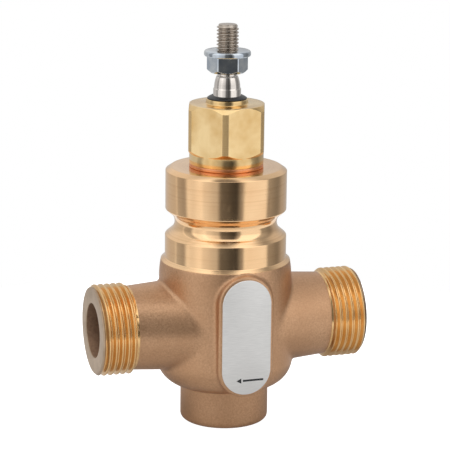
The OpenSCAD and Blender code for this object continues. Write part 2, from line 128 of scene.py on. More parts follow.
def lathe(name, outline, material=None, steps=160, sharp=40.0, radius_at=None):
    """Turns a closed outline of (radius, height) about Z. A point on the axis closes the piece there.
    radius_at(radii, angles, heights) may shape the radius, as a mill does with flats."""
    profile = np.array(outline, dtype=float)
    n = len(profile)
    angles = np.linspace(0, 2 * math.pi, steps, endpoint=False)
    verts, index = [], np.zeros((n, steps), dtype=int)
    for i, (r, z) in enumerate(profile):
        if r < 1e-6:
            index[i, :] = len(verts)
            verts.append((0.0, 0.0, z))
        else:
            radii = np.full(steps, r)
            heights = np.full(steps, z)
            if radius_at:
                radii = radius_at(radii, angles, heights)
            index[i, :] = np.arange(len(verts), len(verts) + steps)
            verts.extend(zip(radii * np.cos(angles), radii * np.sin(angles), heights))
    faces = []
    area = 0.0
    for i in range(n):
        (r0, z0), (r1, z1) = profile[i], profile[(i + 1) % n]
        area += r0 * z1 - r1 * z0
    for i in range(n):
        a, b = index[i], index[(i + 1) % n]
        ra, rb = profile[i][0], profile[(i + 1) % n][0]
        if ra < 1e-6 and rb < 1e-6:
            continue
        a2, b2 = np.roll(a, -1), np.roll(b, -1)
        if ra < 1e-6:
            quads = np.stack([a, b2, b], axis=1)
        elif rb < 1e-6:
            quads = np.stack([a, a2, b], axis=1)
        else:
            quads = np.stack([a, a2, b2, b], axis=1)
        if area < 0:
            quads = quads[:, ::-1]
        faces.extend(quads.tolist())
    return new_piece(name, verts, faces, material, sharp)


def move_points(piece, matrix):
    piece.data.transform(matrix)
    piece.data.update()


def joined(name, pieces, sharp=35.0):
    """One piece from several that touch each other."""
    verts, faces, slots, materials = [], [], [], []
    for piece in pieces:
        start = len(verts)
        mesh = piece.data
        verts.extend([tuple(v.co) for v in mesh.vertices])
        for face in mesh.polygons:
            faces.append([start + i for i in face.vertices])
            material = mesh.materials[face.material_index]
            if material not in materials:
                materials.append(material)
            slots.append(materials.index(material))
        bpy.data.objects.remove(piece)
    mesh = bpy.data.meshes.new(name)
    mesh.from_pydata(verts, [], faces)
    for material in materials:
        mesh.materials.append(material)
    mesh.polygons.foreach_set("material_index", slots)
    mesh.update()
    out = bpy.data.objects.new(name, mesh)
    bpy.context.scene.collection.objects.link(out)
    finish_shading(out, sharp)
    return out


# ---- Materials
def tone(r, g, b):
    """A colour as a screen shows it, 0 to 255, turned into a shader's linear colour."""
    def linear(c):
        c = c / 255
        return c / 12.92 if c <= 0.04045 else ((c + 0.055) / 1.055) ** 2.4
    return (linear(r), linear(g), linear(b), 1.0)


class Finish:
    """A node material with short calls for its nodes. All patterns read Object coordinates."""

    def __init__(self, name):
        self.material = bpy.data.materials.new(name)
        self.material.use_nodes = True
        self.tree = self.material.node_tree
        self.tree.nodes.clear()
        self.out = self.tree.nodes.new("ShaderNodeOutputMaterial")
        self.shader = self.tree.nodes.new("ShaderNodeBsdfPrincipled")
        self.tree.links.new(self.shader.outputs["BSDF"], self.out.inputs["Surface"])
        self.place = self.tree.nodes.new("ShaderNodeTexCoord").outputs["Object"]

    def put(self, socket, value):
        if isinstance(value, bpy.types.NodeSocket):
            self.tree.links.new(value, socket)
        else:
            socket.default_value = value

    def set(self, **values):
        for key, value in values.items():
            self.put(self.shader.inputs[key.replace("_", " ")], value)

    def math(self, operation, a, b=0.0):
        node = self.tree.nodes.new("ShaderNodeMath")
        node.operation = operation
        for socket, value in zip(node.inputs, (a, b)):
            self.put(socket, value)
        return node.outputs[0]

    def stretch(self, scale):
        node = self.tree.nodes.new("ShaderNodeMapping")
        self.put(node.inputs["Vector"], self.place)
        node.inputs["Scale"].default_value = scale
        return node.outputs[0]

    def noise(self, scale, detail=3.0, rough=0.5, place=None):
        node = self.tree.nodes.new("ShaderNodeTexNoise")
        self.put(node.inputs["Vector"], place or self.place)
        node.inputs["Scale"].default_value = scale
        node.inputs["Detail"].default_value = detail
        node.inputs["Roughness"].default_value = rough
        return node.outputs["Fac"]

    def cells(self, scale):
        node = self.tree.nodes.new("ShaderNodeTexVoronoi")
        self.put(node.inputs["Vector"], self.place)
        node.inputs["Scale"].default_value = scale
        return node.outputs["Distance"]

    def between(self, value, low, high, to_low=0.0, to_high=1.0):
        node = self.tree.nodes.new("ShaderNodeMapRange")
        node.inputs["From Min"].default_value = low
        node.inputs["From Max"].default_value = high
        node.inputs["To Min"].default_value = to_low
        node.inputs["To Max"].default_value = to_high
        self.put(node.inputs["Value"], value)
        return node.outputs["Result"]

    def blend(self, factor, first, second):
        node = self.tree.nodes.new("ShaderNodeMix")
        node.data_type = "RGBA"
        self.put(node.inputs[0], factor)
        self.put(node.inputs[6], first)
        self.put(node.inputs[7], second)
        return node.outputs[2]

    def bump(self, height, distance, strength=1.0, after=None):
        node = self.tree.nodes.new("ShaderNodeBump")
        node.inputs["Distance"].default_value = distance * MM
        node.inputs["Strength"].default_value = strength
        self.put(node.inputs["Height"], height)
        if after is not None:
            self.put(node.inputs["Normal"], after)
        return node.outputs[0]

    def rings(self, along, scale, centre=(0, 0, 0)):
        """A value that changes only along the piece's axis and outwards from it, as a lathe tool leaves."""
        split = self.tree.nodes.new("ShaderNodeSeparateXYZ")
        moved = self.tree.nodes.new("ShaderNodeVectorMath")
        moved.operation = "SUBTRACT"
        self.put(moved.inputs[0], self.place)
        moved.inputs[1].default_value = centre
        self.put(split.inputs[0], moved.outputs[0])
        x, y, z = split.outputs
        if along == "Z":
            a, b, c = x, y, z
        else:
            a, b, c = y, z, x
        radius = self.math("SQRT", self.math("ADD", self.math("MULTIPLY", a, a), self.math("MULTIPLY", b, b)))
        join = self.tree.nodes.new("ShaderNodeCombineXYZ")
        self.put(join.inputs[0], radius)
        self.put(join.inputs[1], c)
        return self.noise(scale, 4.0, 0.6, join.outputs[0])


def sand_cast_bronze():
    """Blasted casting: a fine even grain, with slow patches of darker and redder metal."""
    f = Finish("sand_cast_bronze")
    patches = f.noise(55, 3.0, 0.55)
    grain = f.noise(1500, 4.0, 0.7)
    specks = f.cells(1100)
    warm = f.blend(f.between(patches, 0.32, 0.68), tone(200, 157, 121), tone(216, 174, 138))
    colour = f.blend(f.between(grain, 0.30, 0.72), tone(182, 140, 105), warm)
    f.set(Base_Color=colour, Metallic=0.86, Roughness=f.between(grain, 0.2, 0.8, 0.32, 0.47))
    fine = f.bump(grain, 0.10, 0.55)
    f.set(Normal=f.bump(specks, 0.08, 0.30, fine))
    return f.material


def turned_bronze(name, along, centre=(0, 0, 0)):
    """The polished, machined faces of the casting, with faint tool lines round the axis."""
    f = Finish(name)
    fine = f.rings(along, 5200, centre)
    broad = f.rings(along, 1300, centre)
    slow = f.noise(90, 2.0, 0.5)
    scuffs = f.noise(420, 4.0, 0.7, f.stretch((1, 1, 0.22)))
    colour = f.blend(f.between(slow, 0.3, 0.7), tone(241, 197, 149), tone(250, 210, 163))
    colour = f.blend(f.between(broad, 0.52, 0.72, 0.0, 0.35), colour, tone(216, 170, 124))
    rough = f.math("ADD", f.between(fine, 0.25, 0.75, 0.07, 0.15), f.between(scuffs, 0.5, 0.75, 0.0, 0.12))
    f.set(Base_Color=colour, Metallic=1.0, Roughness=rough)
    f.set(Normal=f.bump(broad, 0.012, 0.5, f.bump(fine, 0.008, 0.4)))
    return f.material


def cut_thread_bronze():
    """Brighter, yellower metal where the pipe threads are cut."""
    f = Finish("cut_thread_bronze")
    lines = f.rings("X", 4200, (0, 0, AXIS_Z * MM))
    slow = f.noise(120, 2.0, 0.5)
    colour = f.blend(f.between(slow, 0.3, 0.7), tone(228, 184, 126), tone(240, 200, 144))
    f.set(Base_Color=colour, Metallic=0.95, Roughness=f.between(lines, 0.25, 0.75, 0.15, 0.25))
    f.set(Normal=f.bump(lines, 0.02, 0.5))
    return f.material


def dull_port_face():
    """The end faces of the ports: turned, but handled and dull."""
    f = Finish("dull_port_face")
    lines = f.rings("X", 3600, (0, 0, AXIS_Z * MM))
    slow = f.noise(160, 3.0, 0.6)
    colour = f.blend(f.between(slow, 0.3, 0.7), tone(168, 146, 122), tone(190, 168, 144))
    f.set(Base_Color=colour, Metallic=0.75, Roughness=f.between(lines, 0.25, 0.75, 0.36, 0.52))
    f.set(Normal=f.bump(lines, 0.03, 0.5))
    return f.material


def rough_bore_painted_shade():
    """The bores as the boring bar leaves them, with painted shade: a darker colour for the shade inside."""
    f = Finish("rough_bore_painted_shade")
    lines = f.rings("X", 1900, (0, 0, AXIS_Z * MM))
    grain = f.noise(900, 4.0, 0.7)
    # Painted shade: these dark browns stand in for the shade deep inside the bores
    colour = f.blend(f.between(grain, 0.3, 0.7), tone(126, 97, 75), tone(156, 124, 98))
    f.set(Base_Color=colour, Metallic=0.5, Roughness=f.between(grain, 0.25, 0.75, 0.5, 0.68))
    f.set(Normal=f.bump(grain, 0.06, 0.5, f.bump(lines, 0.06, 0.5)))
    return f.material


def bright_brass():
    """Milled hexagon brass, satin on its flats, with cloudy patches left by the cutter."""
    f = Finish("bright_brass")
    mottle = f.noise(700, 4.0, 0.65)
    clouds = f.noise(75, 3.0, 0.6)
    strokes = f.noise(520, 3.0, 0.6, f.stretch((1, 1, 0.12)))
    colour = f.blend(f.between(clouds, 0.36, 0.62), tone(222, 184, 124), tone(248, 218, 164))
    colour = f.blend(f.between(strokes, 0.5, 0.75, 0.0, 0.3), colour, tone(226, 192, 136))
    f.set(Base_Color=colour, Metallic=1.0, Roughness=f.between(mottle, 0.25, 0.75, 0.14, 0.26))
    f.set(Normal=f.bump(mottle, 0.015, 0.45))
    return f.material


def turned_corner_brass():
    """The corners of the hexagon, left by a coarser turning cut."""
    f = Finish("turned_corner_brass")
    lines = f.rings("Z", 2600)
    colour = f.blend(f.between(lines, 0.3, 0.7), tone(214, 180, 126), tone(232, 200, 146))
    f.set(Base_Color=colour, Metallic=0.9, Roughness=f.between(lines, 0.25, 0.75, 0.40, 0.52))
    f.set(Normal=f.bump(lines, 0.02, 0.5))
    return f.material


def plain_metal(name, first, second, rough=(0.2, 0.32), grain=900, depth=0.01, metallic=1.0):
    f = Finish(name)
    fine = f.noise(grain, 3.0, 0.6)
    colour = f.blend(f.between(fine, 0.3, 0.7), tone(*first), tone(*second))
    f.set(Base_Color=colour, Metallic=metallic, Roughness=f.between(fine, 0.25, 0.75, *rough))
    f.set(Normal=f.bump(fine, depth, 0.5))
    return f.material


def ground_steel():
    """The stem: ground round bar, with rings left by the wheel."""
    f = Finish("ground_steel")
    lines = f.rings("Z", 5200)
    f.set(Base_Color=f.blend(f.between(lines, 0.3, 0.7), tone(216, 208, 201), tone(234, 227, 220)))
    f.set(Metallic=1.0, Roughness=f.between(lines, 0.25, 0.75, 0.07, 0.14))
    f.set(Normal=f.bump(lines, 0.008, 0.5))
    return f.material


def bluish_zinc():
    """Zinc plating with a thin bluish film that is a little uneven."""
    f = Finish("bluish_zinc")
    film = f.noise(260, 3.0, 0.55)
    colour = f.blend(f.between(film, 0.35, 0.65), tone(182, 191, 202), tone(214, 219, 222))
    f.set(Base_Color=colour, Metallic=1.0, Roughness=f.between(film, 0.25, 0.75, 0.06, 0.15))
    f.set(Normal=f.bump(f.noise(1400, 3.0), 0.008, 0.5))
    return f.material


def brushed_plate():
    """The nameplate: pale metal foil, brushed across its width."""
    f = Finish("brushed_plate")
    strokes = f.noise(300, 3.0, 0.6, f.stretch((1, 1, 22)))
    colour = f.blend(f.between(strokes, 0.3, 0.7), tone(216, 215, 213), tone(231, 230, 228))
    f.set(Base_Color=colour, Metallic=0.35, Roughness=f.between(strokes, 0.25, 0.75, 0.38, 0.52))
    f.set(Normal=f.bump(strokes, 0.006, 0.4))
    return f.material


def black_print():
    f = Finish("black_print")
    fine = f.noise(900, 2.0)
    f.set(Base_Color=f.blend(fine, tone(24, 24, 27), tone(44, 43, 45)))
    f.set(Roughness=f.between(fine, 0.2, 0.8, 0.42, 0.6))
    return f.material


def wiper_rubber():
    f = Finish("wiper_rubber")
    fine = f.noise(1300, 3.0, 0.6)
    f.set(Base_Color=f.blend(f.between(fine, 0.3, 0.7), tone(20, 20, 22), tone(40, 39, 40)))
    f.set(Roughness=f.between(fine, 0.2, 0.8, 0.28, 0.46), Normal=f.bump(fine, 0.015, 0.5))
    return f.material


def soft_ring(name, first, second, rough=(0.4, 0.6)):
    f = Finish(name)
    fine = f.noise(1000, 3.0, 0.6)
    f.set(Base_Color=f.blend(f.between(fine, 0.3, 0.7), tone(*first), tone(*second)))
    f.set(Roughness=f.between(fine, 0.2, 0.8, *rough), Normal=f.bump(fine, 0.01, 0.5))
    return f.material


CAST = sand_cast_bronze()
NECK = turned_bronze("turned_neck_bronze", "Z")
PORT_FACE = dull_port_face()
# The bore finish carries painted shade in its darker colour
BORE = rough_bore_painted_shade()
THREAD = cut_thread_bronze()
BRASS = bright_brass()
CORNER = turned_corner_brass()
COPPER = plain_metal("soft_copper", (230, 156, 110), (242, 174, 128), (0.26, 0.38), 800, 0.02)
STEEL = ground_steel()
STEEL_THREAD = plain_metal("stem_thread_steel", (176, 164, 152), (200, 190, 178), (0.26, 0.40), 1500, 0.02)
ZINC = bluish_zinc()
PLATE = brushed_plate()
PRINT = black_print()
RUBBER = wiper_rubber()
PTFE = soft_ring("white_ptfe", (232, 230, 222), (246, 244, 238))
SEAL_RUBBER = soft_ring("seal_rubber", (18, 18, 20), (34, 34, 36), (0.35, 0.5))
BUSH = plain_metal("sintered_bush_bronze", (176, 138, 84), (196, 156, 98), (0.34, 0.5), 1600, 0.04)
SPRING = plain_metal("phosphated_spring_steel", (66, 66, 68), (84, 84, 87), (0.36, 0.5), 1200, 0.02)
STAINLESS = plain_metal("stainless_steel", (196, 192, 188), (214, 210, 205), (0.2, 0.3), 900, 0.01)
PLUG_BRASS = plain_metal("turned_plug_brass", (224, 184, 122), (238, 200, 138), (0.18, 0.28), 900, 0.01)


# ---- The casting: one skin drawn round blended forms
def smooth_min(a, b, k):
    h = np.clip(0.5 + 0.5 * (b - a) / k, 0, 1)
    return b * (1 - h) + a * h - k * h * (1 - h)


def smooth_max(a, b, k):
    return -smooth_min(-a, -b, k)


def outline_distance(outline, r, z):
    """Signed distance to a closed outline in the plane of radius and height: negative inside."""
    best = np.full(r.shape, 1e9)
    inside = np.zeros(r.shape, dtype=bool)
    n = len(outline)
    for i in range(n):
        (r0, z0), (r1, z1) = outline[i], outline[(i + 1) % n]
        er, ez = r1 - r0, z1 - z0
        length = er * er + ez * ez
        if length < 1e-12:
            continue
        t = np.clip(((r - r0) * er + (z - z0) * ez) / length, 0, 1)
        best = np.minimum(best, (r - r0 - t * er) ** 2 + (z - z0 - t * ez) ** 2)
        if z0 != z1:
            cross = ((z0 > z) != (z1 > z)) & (r < er * (z - z0) / (z1 - z0) + r0)
            inside ^= cross
    best = np.sqrt(best)
    return np.where(inside, -best, best)


def turned_distance(outline, radius, height, step=0.1):
    """The same for a turned form, read from a fine table so that a large block of points stays quick."""
    r_line = np.arange(-3, 62, step)
    z_line = np.arange(-6, 102, step)
    table = outline_distance(outline, *np.meshgrid(r_line, z_line, indexing="ij"))
    i = np.clip((radius - r_line[0]) / step, 0, len(r_line) - 2.001)
    j = np.clip((height - z_line[0]) / step, 0, len(z_line) - 2.001)
    i0, j0 = i.astype(int), j.astype(int)
    u, v = i - i0, j - j0
    return ((1 - u) * (1 - v) * table[i0, j0] + u * (1 - v) * table[i0 + 1, j0]
            + (1 - u) * v * table[i0, j0 + 1] + u * v * table[i0 + 1, j0 + 1])


def arc_points(centre, r, a0, a1, steps):
    return [(centre[0] + r * math.cos(math.radians(a0 + (a1 - a0) * i / steps)),
             centre[1] + r * math.sin(math.radians(a0 + (a1 - a0) * i / steps))) for i in range(steps + 1)]


def column_outline():
    """Foot, bowl and barrel, up to the edge where the neck is turned."""
    foot_round, bowl_round, shoulder_round = 1.8, 9.5, 36.0
    bowl_centre = (BOWL_R - bowl_round, 23.5)
    start = -math.degrees(math.acos((FOOT_R - bowl_centre[0]) / bowl_round))
    shoulder = (BARREL_R - shoulder_round, BARREL_TOP_Z - 6.6)
    end = math.degrees(math.asin(6.6 / shoulder_round))
    points = [(-FOOT_R, 0.0)]
    points += arc_points((FOOT_R - foot_round, foot_round), foot_round, -90, 0, 8)
    points += arc_points(bowl_centre, bowl_round, start, 0, 20)
    points += arc_points(shoulder, shoulder_round, 0, end, 8)
    points += [(points[-1][0] - 1.6, BARREL_TOP_Z + 0.75), (-FOOT_R, BARREL_TOP_Z + 0.75)]
    return points


def chambers_outline():
    """The two chambers, the lip and pocket of the seat, and the bore of the neck."""
    return [(-5, 6), (11.5, 6), (11.5, 34), (9.45, 34), (9.45, 36), (10.45, 36), (10.45, 40), (13, 40),
            (13, 57), (NECK_BORE_R, 57), (NECK_BORE_R, 99), (-5, 99)]


def rod_distance(x, y, z, start, end, r):
    start, end = np.array(start, float), np.array(end, float)
    way = end - start
    t = np.clip(((x - start[0]) * way[0] + (y - start[1]) * way[1] + (z - start[2]) * way[2]) / (way @ way), 0, 1)
    return np.sqrt((x - start[0] - t * way[0]) ** 2 + (y - start[1] - t * way[1]) ** 2
                   + (z - start[2] - t * way[2]) ** 2) - r


def casting_distance(x, y, z):
    radius = np.sqrt(x * x + y * y)
    column = turned_distance(column_outline(), radius, z)
    # Each arm runs from a flattened root to a round end
    root_x, end_x = 11.0, 36.5
    root_half_w, root_half_h, end_r = 20.6, 16.9, 15.3
    reach = np.abs(x)
    share = np.clip((reach - root_x) / (end_x - root_x), 0, 1)
    half_w = root_half_w + (end_r - root_half_w) * share
    half_h = root_half_h + (end_r - root_half_h) * share
    dz = z - AXIS_Z
    q = np.sqrt((y / half_w) ** 2 + (dz / half_h) ** 2) + 1e-9
    arms = (1 - 1 / q) * np.sqrt(y * y + dz * dz) * 0.98
    arms = np.maximum(arms, reach - (end_x + 0.4))
    body = smooth_min(column, arms, 1.1)
    body = np.maximum(body, z - (BARREL_TOP_Z + 0.55))
    # The pad of the nameplate, with a bevelled edge
    half_l = PLATE_L / 2 - PLATE_W / 2
    rim, pad_edge = 0.5, 0.25
    across = np.sqrt(x * x + np.maximum(np.abs(z - PLATE_Z) - half_l, 0) ** 2) - (PLATE_W / 2 + rim)
    face = -y - PAD_Y
    bevel = (across + face) * 0.7071
    pad = smooth_max(smooth_max(across - 0.7, face, pad_edge), bevel, pad_edge)
    pad = np.maximum(pad, y)
    body = smooth_min(body, pad, 1.3)
    hollow = turned_distance(chambers_outline(), radius, z)
    from_axis = np.sqrt(y * y + dz * dz)
    bores = np.maximum(from_axis - PORT_BORE_R, (PORT_X - PORT_BORE_L) - reach)
    hollow = np.minimum(hollow, bores)
    # The sloped passages: from the inlet down to the lower chamber, and from the upper one to the outlet
    passage_r = 6.5
    hollow = np.minimum(hollow, rod_distance(x, y, z, (29, 0, AXIS_Z - 0.5), (11, 0, AXIS_Z - 12), passage_r))
    hollow = np.minimum(hollow, rod_distance(x, y, z, (-29, 0, AXIS_Z + 0.5), (-11, 0, AXIS_Z + 11), passage_r))
    return smooth_max(body, -hollow, 0.5)


def skin(distance, low, high, step):
    """Wraps a distance field in quads: one point in each cell that the surface crosses, one quad across
    each grid edge that it cuts."""
    axes = [np.arange(a, b + step, step) for a, b in zip(low, high)]
    x, y, z = np.meshgrid(*axes, indexing="ij")
    d = distance(x, y, z).astype(np.float64)
    inside = d < 0
    cells = np.zeros([n - 1 for n in d.shape], dtype=int)
    for i in (0, 1):
        for j in (0, 1):
            for k in (0, 1):
                cells += inside[i:i + cells.shape[0], j:j + cells.shape[1], k:k + cells.shape[2]]
    crossed = (cells > 0) & (cells < 8)
    index = -np.ones(crossed.shape, dtype=int)
    where = np.argwhere(crossed)
    index[crossed] = np.arange(len(where))
    total = np.zeros((len(where), 3))
    count = np.zeros(len(where))
    for axis in range(3):
        others = [a for a in range(3) if a != axis]
        for p in (0, 1):
            for q in (0, 1):
                offset = [0, 0, 0]
                offset[others[0]], offset[others[1]] = p, q
                at = where + offset
                to = at.copy()
                to[:, axis] += 1
                d0, d1 = d[tuple(at.T)], d[tuple(to.T)]
                cut = (d0 < 0) != (d1 < 0)
                t = np.where(cut, d0 / np.where(cut, d0 - d1, 1), 0)
                point = at.astype(float)
                point[:, axis] += t
                total[cut] += point[cut]
                count[cut] += 1
    points = total / count[:, None] * step + np.array(low)
    quads = []
    for axis in range(3):
        o1, o2 = (axis + 1) % 3, (axis + 2) % 3
        a = [slice(None)] * 3
        b = [slice(None)] * 3
        a[axis], b[axis] = slice(None, -1), slice(1, None)
        first, second = inside[tuple(a)], inside[tuple(b)]
        edges = np.argwhere(first != second)
        ok = (edges[:, o1] > 0) & (edges[:, o2] > 0)
        ok &= (edges[:, o1] < crossed.shape[o1]) & (edges[:, o2] < crossed.shape[o2])
        edges = edges[ok]
        outward = first[tuple(edges.T)]
        ring = []
        for p, q in ((0, 0), (-1, 0), (-1, -1), (0, -1)):
            at = edges.copy()
            at[:, o1] += p
            at[:, o2] += q
            ring.append(index[tuple(at.T)])
        ring = np.stack(ring, axis=1)
        ring[~outward] = ring[~outward][:, ::-1]
        quads.append(ring)
    quads = np.concatenate(quads)
    return points, quads[(quads >= 0).all(axis=1)]


def settle(points, distance, rounds=3, h=0.02):
    """Draws the skin's points onto the surface, along its slope."""
    for _ in range(rounds):
        x, y, z = points.T
        d = distance(x, y, z)
        slope = np.stack([distance(x + h, y, z) - d, distance(x, y + h, z) - d, distance(x, y, z + h) - d], axis=1) / h
        size = np.maximum((slope ** 2).sum(axis=1), 0.25)
        points = points - np.clip(d, -0.3, 0.3)[:, None] * slope / size[:, None] * 0.8
    return points


def body_casting():
    step = 0.62
    low, high = (-37.4, -26.6, -0.93), (37.6, 25.4, 61.8)
    points, quads = skin(casting_distance, low, high, step)
    points = settle(points, casting_distance)
    points[:, 2] = np.maximum(points[:, 2], 0.0)
    points[:, 1] = np.clip(points[:, 1], -PAD_Y, BOWL_R - 0.01)
    return new_piece("body_casting", points, quads.tolist(), CAST, 60)


# ---- Threads: a Geometry Nodes tool that cuts a turned blank
def thread_cutter():
    """A tree that draws the points of a blank in to a right-handed thread about Z.

    Between Start and End, a point that stands further out than the thread's surface moves in to it, so the
    blank's own chamfers and run-outs stay. Flank is how much the radius falls for each mm along the axis."""
    tree = bpy.data.node_groups.new("cut_thread", "GeometryNodeTree")
    face = tree.interface
    face.new_socket("Blank", in_out="INPUT", socket_type="NodeSocketGeometry")
    for label in ("Start", "End", "Pitch", "Root radius", "Crest radius", "Flank", "Turned"):
        face.new_socket(label, in_out="INPUT", socket_type="NodeSocketFloat")
    face.new_socket("Finish", in_out="INPUT", socket_type="NodeSocketMaterial")
    face.new_socket("Threaded", in_out="OUTPUT", socket_type="NodeSocketGeometry")
    new, link = tree.nodes.new, tree.links.new
    given = new("NodeGroupInput").outputs
    result = new("NodeGroupOutput")

    def calc(operation, *values):
        node = new("ShaderNodeMath")
        node.operation = operation
        for socket, value in zip(node.inputs, values):
            if isinstance(value, (int, float)):
                socket.default_value = value
            else:
                link(value, socket)
        return node.outputs[0]

    place = new("GeometryNodeInputPosition").outputs[0]
    split = new("ShaderNodeSeparateXYZ")
    link(place, split.inputs[0])
    x, y, z = split.outputs
    radius = calc("SQRT", calc("ADD", calc("MULTIPLY", x, x), calc("MULTIPLY", y, y)))
    turn = calc("DIVIDE", calc("ARCTAN2", y, x), 2 * math.pi)
    along = calc("ADD", calc("SUBTRACT", calc("DIVIDE", calc("SUBTRACT", z, given["Start"]), given["Pitch"]), turn),
                 given["Turned"])
    off_crest = calc("MULTIPLY", calc("ABSOLUTE", calc("SUBTRACT", calc("FRACT", along), 0.5)), given["Pitch"])
    middle = calc("MULTIPLY", calc("ADD", given["Root radius"], given["Crest radius"]), 0.5)
    sloped = calc("ADD", middle, calc("MULTIPLY", calc("SUBTRACT", calc("MULTIPLY", given["Pitch"], 0.25), off_crest),
                                      given["Flank"]))
    soft = calc("MULTIPLY", given["Pitch"], 0.07)
    groove = calc("SMOOTH_MIN", sloped, given["Crest radius"], soft)
    groove = calc("SMOOTH_MAX", groove, given["Root radius"], soft)
    inside = calc("MULTIPLY", calc("GREATER_THAN", z, given["Start"]), calc("LESS_THAN", z, given["End"]))
    proud = calc("MULTIPLY", inside, calc("GREATER_THAN", radius, calc("MULTIPLY", given["Root radius"], 0.93)))
    new_radius = calc("MINIMUM", radius, groove)
    share = calc("DIVIDE", new_radius, calc("MAXIMUM", radius, 1e-6))
    ratio = calc("ADD", 1.0, calc("MULTIPLY", proud, calc("SUBTRACT", share, 1.0)))
    join = new("ShaderNodeCombineXYZ")
    link(calc("MULTIPLY", x, ratio), join.inputs[0])
    link(calc("MULTIPLY", y, ratio), join.inputs[1])
    link(z, join.inputs[2])
    shift = new("GeometryNodeSetPosition")
    link(given["Blank"], shift.inputs["Geometry"])
    link(join.outputs[0], shift.inputs["Position"])
    real = new("GeometryNodeRealizeInstances")
    link(shift.outputs[0], real.inputs[0])
    paint = new("GeometryNodeSetMaterial")
    link(real.outputs[0], paint.inputs["Geometry"])
    link(given["Finish"], paint.inputs["Material"])
    link(paint.outputs[0], result.inputs[0])
    return tree


CUTTER = thread_cutter()


def threaded(blank, finish, **sizes):
    """Runs the thread cutter on a blank and leaves a plain mesh. Sizes are in mm."""
    cut = blank.modifiers.new("thread", "NODES")
    cut.node_group = CUTTER
    named = {item.name: item.identifier for item in CUTTER.interface.items_tree if item.in_out == "INPUT"}
    for label, value in sizes.items():
        key = label.replace("_", " ").capitalize()
        cut[named[key]] = float(value * (1 if key in ("Flank", "Turned") else MM))
    cut[named["Finish"]] = finish
    done = bpy.data.meshes.new_from_object(blank.evaluated_get(bpy.context.evaluated_depsgraph_get()))
    blank.modifiers.clear()
    name = blank.name
    old = blank.data
    blank.data = done
    bpy.data.meshes.remove(old)
    done.name = name
    finish_shading(blank, 50)
    return blank


def close_rings(z0, z1, r0, r1, step):
    """Points of a straight stretch of outline, close enough together for a thread to be cut in it."""
    n = max(1, int(math.ceil(abs(z1 - z0) / step)))
    return [(r0 + (r1 - r0) * i / n, z0 + (z1 - z0) * i / n) for i in range(n + 1)]


def port(name, side):
    """A threaded port end: run-out, thread, chamfer, end face and bore, drawn along Z and laid on X."""
    start = 36.4
    outer = [(PORT_BORE_R, start), (15.25, start), (15.32, start + 0.05), (15.35, 37.1)]
    outer += close_rings(37.15, 37.75, 15.4, PORT_CREST_R, 0.1)
    outer += close_rings(37.85, 48.9, PORT_CREST_R, PORT_CREST_R, 0.105)
    outer += close_rings(49.0, 49.95, PORT_CREST_R - 0.06, 15.72, 0.1)
    inner = [(15.62, PORT_X - 0.01), (15.5, PORT_X), (12.6, PORT_X), (PORT_BORE_R + 0.3, PORT_X),
             (PORT_BORE_R + 0.1, PORT_X - 0.06), (PORT_BORE_R, PORT_X - 0.25), (PORT_BORE_R, PORT_X - 6),
             (PORT_BORE_R, PORT_X - 11)]
    blank = lathe(name, outer + inner, THREAD, 240)
    threaded(blank, THREAD, start=37.0, end=49.97, pitch=PORT_PITCH, root_radius=PORT_ROOT_R,
             crest_radius=PORT_CREST_R, flank=1 / math.tan(math.radians(27.5)), turned=0.15)
    mesh = blank.data
    mesh.materials.append(PORT_FACE)
    mesh.materials.append(BORE)
    for face in mesh.polygons:
        centre = face.center / MM
        if math.hypot(centre.x, centre.y) < PORT_BORE_R + 0.02:
            face.material_index = 2
        elif centre.z > PORT_X - 1.05:
            face.material_index = 1
    lay = Matrix.Rotation(math.radians(90), 4, "Y")
    if side < 0:
        lay = Matrix.Rotation(math.pi, 4, "Z") @ lay
    move_points(blank, Matrix.Translation((0, 0, AXIS_Z * MM)) @ lay)
    return blank


# ---- Turned and milled pieces
def groove_arc():
    """The floor of the clamp groove and the start of its two flanks."""
    floor_r, floor_z, curve_r, slope = 18.6, 74.695, 4.2, 40.0
    return arc_points((floor_r + curve_r, floor_z), curve_r, 270 - slope, 90 + slope, 16)


def valve_neck():
    """The machined neck: a flare out of the casting, the lower band, the clamp groove and the head."""
    band_r = 22.1
    outline = [(NECK_BORE_R, 59.9, 0), (23.1, 59.9, 0), (23.62, 60.56, 0.05), (band_r, 61.7, 0.25),
               (band_r, 69.81, 0.5)]
    outline += [(r, z, 0) for r, z in groove_arc()]
    outline += [(NECK_R, 79.5, 0.5), (NECK_R, 93.71, 0.35), (20.1, NECK_TOP_Z, 0.25), (12.4, NECK_TOP_Z, 0.1),
                (NECK_BORE_R, NECK_TOP_Z - 0.4, 0)]
    return lathe("valve_neck", rounded(outline, 0.2), NECK, 200, 50)


def gland_gasket():
    outline = [(12.1, NECK_TOP_Z), (13.4, NECK_TOP_Z), (13.4, GLAND_Z), (12.1, GLAND_Z)]
    return lathe("copper_gasket", rounded(outline, 0.28), COPPER, 160, 50)


def flats(flat_r, turned, soft=0.10):
    """How six milled flats limit the radius of a turned blank."""
    def mill(radii, angles):
        phase = (angles - math.radians(turned)) % math.radians(60) - math.radians(30)
        return smooth_min(radii, flat_r / np.cos(phase), soft)

    return mill


